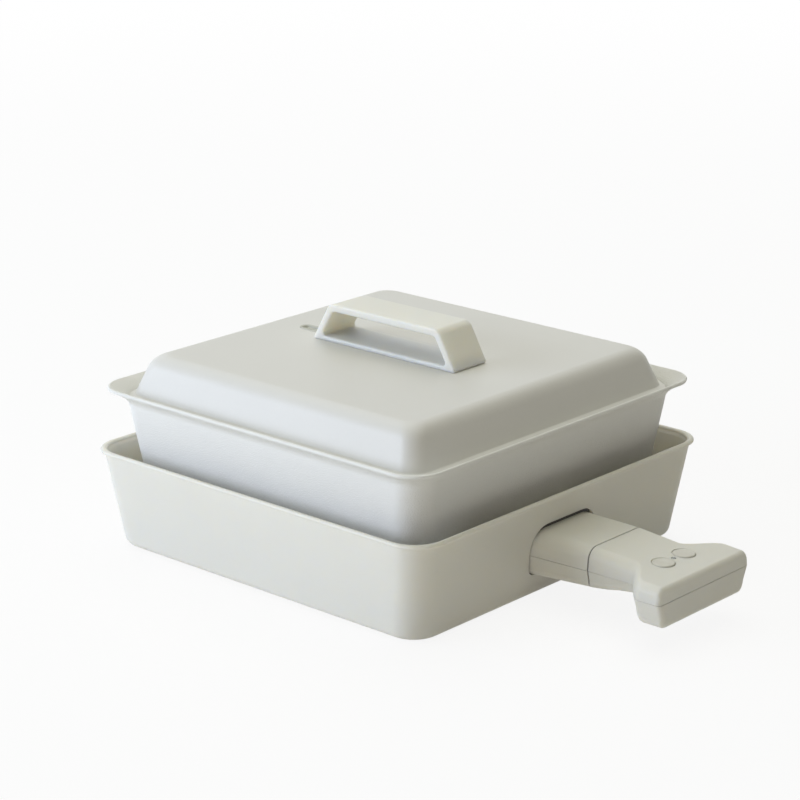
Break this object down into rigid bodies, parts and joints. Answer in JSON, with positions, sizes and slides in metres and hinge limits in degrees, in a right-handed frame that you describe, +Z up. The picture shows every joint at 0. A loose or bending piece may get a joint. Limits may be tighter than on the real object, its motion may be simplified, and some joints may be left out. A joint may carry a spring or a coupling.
{
  "type": "electric hot pot",
  "caption": "Square electric hot pot: drafted base with heating plate, lift-out pot with flared lip, lift-off lid with a bridge handle and a plug-on control handle.",
  "frame": {"origin": "centre of the ring foot on the table", "axes": "+Z up, +X from the pot's centre along the control handle"},
  "size_m": [0.3528, 0.26, 0.141],
  "materials": {
    "cream_shell": "matte satin, fine grain",
    "cream_button": "matte satin",
    "cream_deck": "matte",
    "pot_coat": "matte, finely stippled coat",
    "lid_coat": "matte satin",
    "rubber_foot": "matte",
    "vent_silicone": "matte",
    "sheet_steel": "rolled sheet",
    "screw_steel": "zinc plated",
    "cast_aluminium": "machined casting",
    "element_sheath": "oxidised sheath",
    "terminal_ceramic": "fired ceramic",
    "dark_plastic": "moulded",
    "lead_sleeve": "silicone sleeve",
    "contact_brass": "turned",
    "board_green": "solder mask",
    "lens_clear": "clear light guide"
  },
  "bodies": {
    "base": {"outer_shell": "cream_shell", "foot_ring": "rubber_foot", "bottom_cover": "sheet_steel", "cover_screws": "screw_steel", "deck_plate": "cream_deck", "deck_screws": "screw_steel", "plate_standoffs": "screw_steel", "heating_plate": "cast_aluminium", "plate_screws": "screw_steel", "heating_element": "element_sheath", "element_terminals": "terminal_ceramic", "heat_shield": "sheet_steel", "sensor_guide": "cast_aluminium", "guide_screws": "screw_steel", "sensor_spring": "screw_steel", "thermostat": "dark_plastic", "thermal_fuse": "terminal_ceramic", "lead_wires": "lead_sleeve", "handle_tang": "sheet_steel", "tang_rivets": "screw_steel", "stub_upper_shell": "cream_shell", "stub_lower_shell": "cream_shell", "stub_screws": "screw_steel", "pin_carrier": "dark_plastic", "contact_pins": "contact_brass"},
    "sensor": {"sensor_cap": "cast_aluminium", "sensor_clip": "screw_steel"},
    "inner_pot": {"inner_pot": "pot_coat"},
    "lid": {"lid_shell": "lid_coat", "lid_handle": "cream_shell", "lid_handle_screws": "screw_steel", "vent_grommet": "vent_silicone"},
    "handle": {"handle_upper_shell": "cream_shell", "handle_lower_shell": "cream_shell", "handle_screws": "screw_steel", "socket_block": "dark_plastic", "socket_contacts": "contact_brass", "control_board": "board_green", "button_switches": "dark_plastic", "indicator_lens": "lens_clear", "power_inlet": "dark_plastic", "inlet_pins": "screw_steel"},
    "power_button": {"power_button": "cream_button"},
    "level_button": {"level_button": "cream_button"}
  },
  "joints": [
    {"name": "pot_lift", "type": "slide", "parent": "base", "child": "inner_pot", "axis": [0, 0, 1], "range_m": [0, 0.12]},
    {"name": "lid_lift", "type": "slide", "parent": "inner_pot", "child": "lid", "axis": [0, 0, 1], "range_m": [0, 0.12]},
    {"name": "handle_pull", "type": "slide", "parent": "base", "child": "handle", "axis": [1, 0, 0], "range_m": [0, 0.08]},
    {"name": "sensor_press", "type": "slide", "parent": "base", "child": "sensor", "axis": [0, 0, -1], "range_m": [0, 0.0025], "stiffness_N_per_m": 400, "deforming": ["sensor_spring"]},
    {"name": "power_press", "type": "slide", "parent": "handle", "child": "power_button", "axis": [0, 0, -1], "range_m": [0, 0.001], "stiffness_N_per_m": 600},
    {"name": "level_press", "type": "slide", "parent": "handle", "child": "level_button", "axis": [0, 0, -1], "range_m": [0, 0.001], "stiffness_N_per_m": 600}
  ]
}
